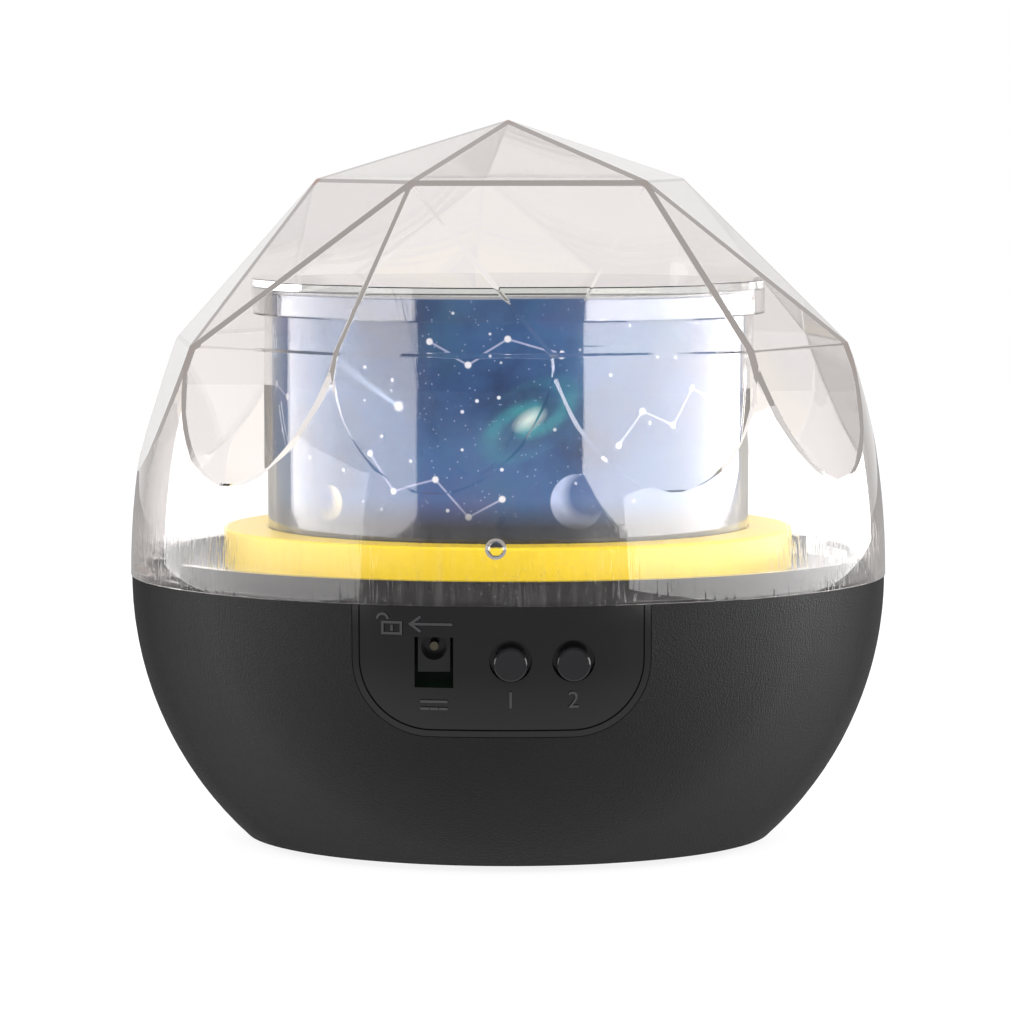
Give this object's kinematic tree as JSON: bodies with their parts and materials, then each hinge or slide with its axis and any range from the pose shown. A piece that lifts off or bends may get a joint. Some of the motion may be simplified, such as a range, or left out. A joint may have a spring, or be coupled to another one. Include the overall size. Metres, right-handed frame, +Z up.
{
  "type": "planetarium projector",
  "caption": "Tabletop star projector: black bowl base with push buttons, clear faceted dome, yellow turntable and clear drum with a star film.",
  "frame": {"origin": "on the bowl's axis, at the level of the soles of the rubber feet", "axes": "+Z up along the axis of the bowl and the turntable, -Y towards the control panel, +X to its right"},
  "size_m": [0.1304, 0.131, 0.1241],
  "materials": {
    "black_case": "fine leather-like grain, black",
    "black_gloss": "smooth glossy black",
    "black_deck": "smooth satin black",
    "clear_dome": "clear polystyrene, slightly smoky",
    "clear_drum": "clear polystyrene",
    "yellow": "satin yellow",
    "film": "printed clear film, deep blue and violet with white dots",
    "rubber": "matt rubber",
    "steel": "zinc plated",
    "brass": "plain",
    "circuit_board": "green solder mask",
    "led": "white lamp with yellow phosphor",
    "white_plastic": "white nylon",
    "cell_wrap": "plain blue wrap",
    "lead_sleeve": "red PVC"
  },
  "bodies": {
    "base": {"base_bowl": "black_case", "control_panel": "black_gloss", "base_plate": "black_case", "base_screws": "steel", "rubber_feet": "rubber", "batteries": "cell_wrap", "battery_contacts": "steel", "contact_springs": "steel", "top_deck": "black_deck", "deck_screws": "steel", "turntable_clip": "steel", "lamp_post": "black_deck", "lamp_post_screws": "steel", "led_board": "white_plastic", "led_lamp": "led", "gearbox_case": "white_plastic", "motor_can": "steel", "motor_screws": "steel", "main_board": "circuit_board", "board_components": "black_deck", "switch_bodies": "black_deck", "dc_jack": "black_deck", "dc_jack_pin": "brass", "battery_leads": "lead_sleeve", "motor_leads": "lead_sleeve", "lamp_leads": "lead_sleeve"},
    "dome": {"diamond_dome": "clear_dome"},
    "turntable": {"turntable": "yellow"},
    "drum": {"film_drum": "clear_drum", "projection_film": "film"},
    "cap": {"drum_cap": "clear_drum"},
    "pinion": {"drive_pinion": "white_plastic", "output_shaft": "steel"},
    "left_button": {"left_button": "black_deck", "left_switch_plunger": "white_plastic"},
    "right_button": {"right_button": "black_deck", "right_switch_plunger": "white_plastic"},
    "battery_door": {"battery_door": "black_case", "battery_door_screw": "steel"}
  },
  "joints": [
    {"name": "dome_lift", "type": "slide", "parent": "base", "child": "dome", "axis": [0, 0, 1], "range_m": [0, 0.12]},
    {"name": "turntable_spin", "type": "hinge", "parent": "base", "child": "turntable", "pos_m": [0, 0, 0.05], "axis": [0, 0, 1], "continuous": true},
    {"name": "drum_lift", "type": "slide", "parent": "turntable", "child": "drum", "axis": [0, 0, 1], "range_m": [0, 0.05]},
    {"name": "cap_lift", "type": "slide", "parent": "drum", "child": "cap", "axis": [0, 0, 1], "range_m": [0, 0.02]},
    {"name": "pinion_spin", "type": "hinge", "parent": "base", "child": "pinion", "pos_m": [0, 0.04, 0.05], "axis": [0, 0, 1], "continuous": true},
    {"name": "left_button_press", "type": "slide", "parent": "base", "child": "left_button", "axis": [0, 1, 0], "range_m": [0, 0.0004], "stiffness_N_per_m": 500, "springref_m": -0.0006},
    {"name": "right_button_press", "type": "slide", "parent": "base", "child": "right_button", "axis": [0, 1, 0], "range_m": [0, 0.0004], "stiffness_N_per_m": 500, "springref_m": -0.0006},
    {"name": "battery_door_swing", "type": "hinge", "parent": "base", "child": "battery_door", "pos_m": [0, 0.02305, 0.0021], "axis": [1, 0, 0], "range_deg": [0, 85]}
  ],
  "couplings": [
    {"joint": "drum_lift", "follows": "dome_lift", "ratio": 0.41667},
    {"joint": "cap_lift", "follows": "dome_lift", "ratio": 0.16667},
    {"joint": "pinion_spin", "follows": "turntable_spin", "ratio": 7.6667}
  ]
}
